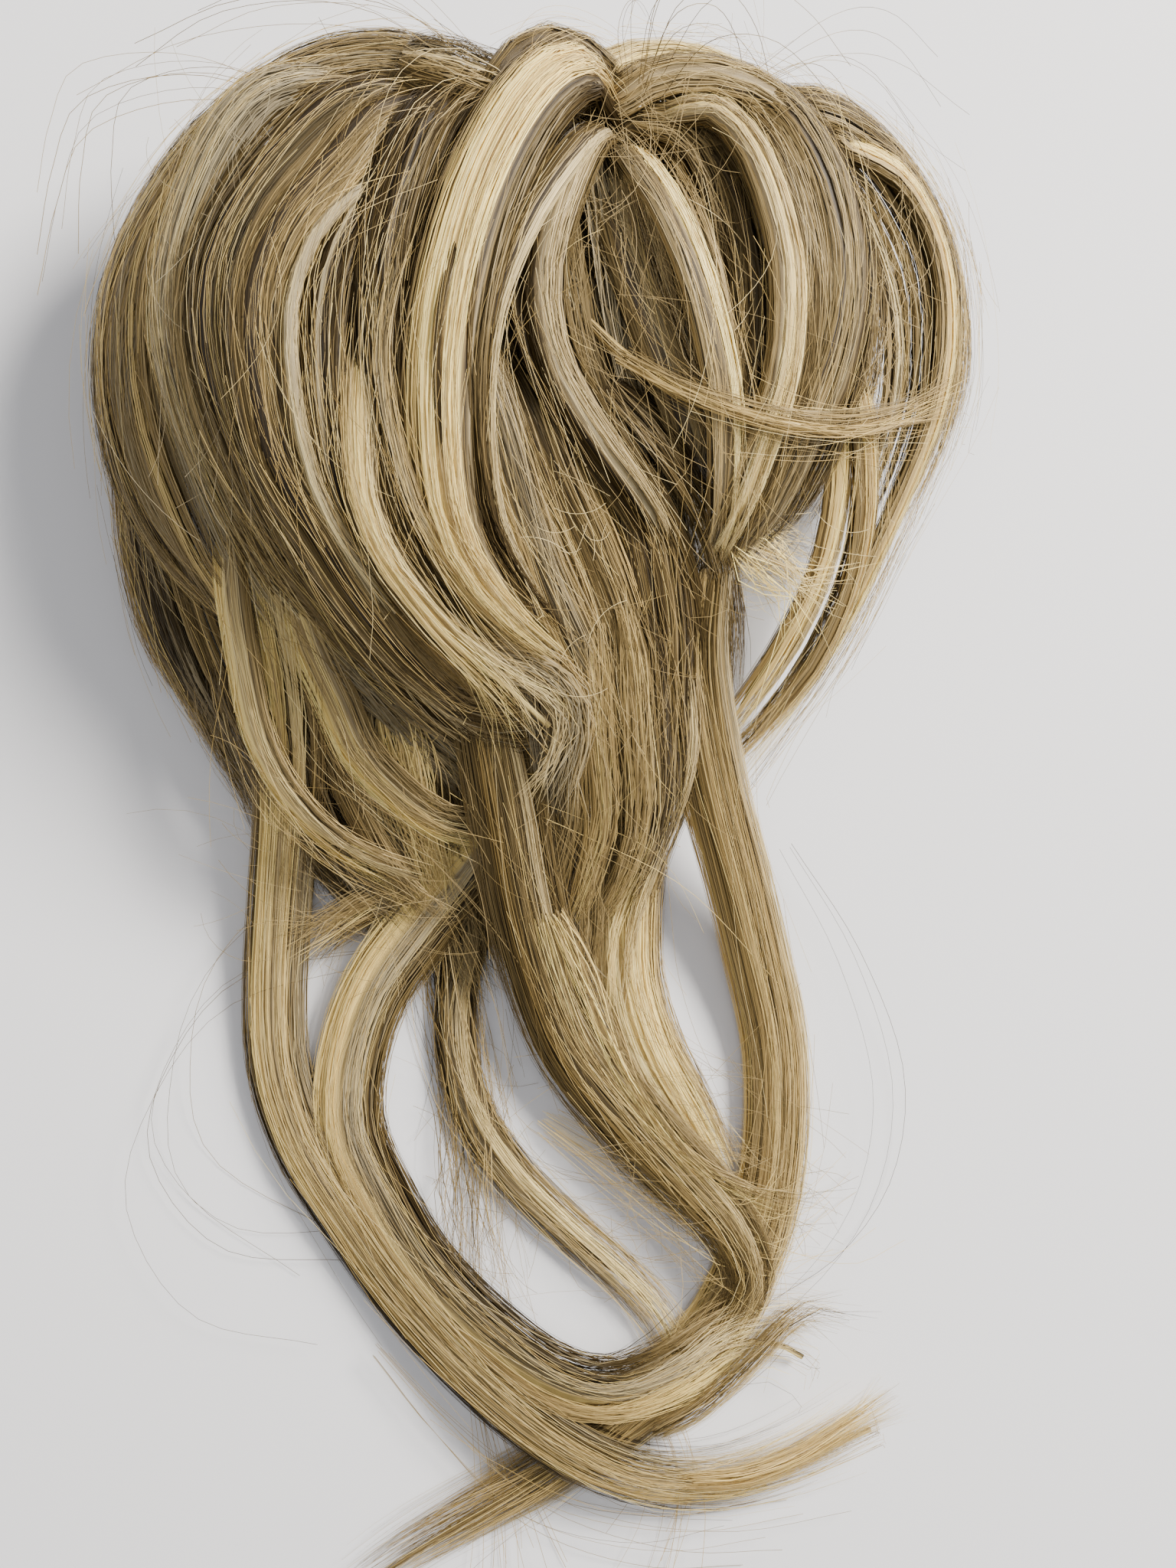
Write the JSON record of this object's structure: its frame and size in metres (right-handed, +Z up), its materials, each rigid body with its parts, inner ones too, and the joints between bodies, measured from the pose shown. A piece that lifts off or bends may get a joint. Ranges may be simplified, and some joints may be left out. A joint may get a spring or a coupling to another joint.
{
  "type": "messy bun hairpiece",
  "caption": "Messy bun hairpiece of looped and trailing synthetic locks gathered on a hidden elastic band, worn over the wearer's own bun or ponytail.",
  "frame": {"origin": "middle of the underside of the whole hairpiece, on the surface that it rests on", "axes": "+X across the bun to the viewer's right, +Y from the tendrils towards the top of the bun, +Z up from the surface it rests on"},
  "size_m": [0.1526, 0.2644, 0.0588],
  "materials": {
    "golden_fibre": "drawn synthetic hair fibre, golden brown, satin",
    "cream_fibre": "drawn synthetic hair fibre, pale cream blonde, satin",
    "ash_fibre": "drawn synthetic hair fibre, mixed ash and beige blonde, satin",
    "shadow_fibre": "drawn synthetic hair fibre, darker brown root hair, satin",
    "band_elastic": "braided elastic loop, matte"
  },
  "bodies": {
    "root": {"elastic_band": "band_elastic", "filling_hair": "shadow_fibre", "crown_lock": "cream_fibre", "left_wing": "golden_fibre", "right_wing": "ash_fibre", "crossing_wisp": "golden_fibre", "tendril_outer": "golden_fibre", "tendril_cream": "cream_fibre", "tendril_centre": "golden_fibre", "tendril_right": "golden_fibre", "tendril_small": "ash_fibre", "tendril_inner": "cream_fibre"}
  },
  "joints": []
}
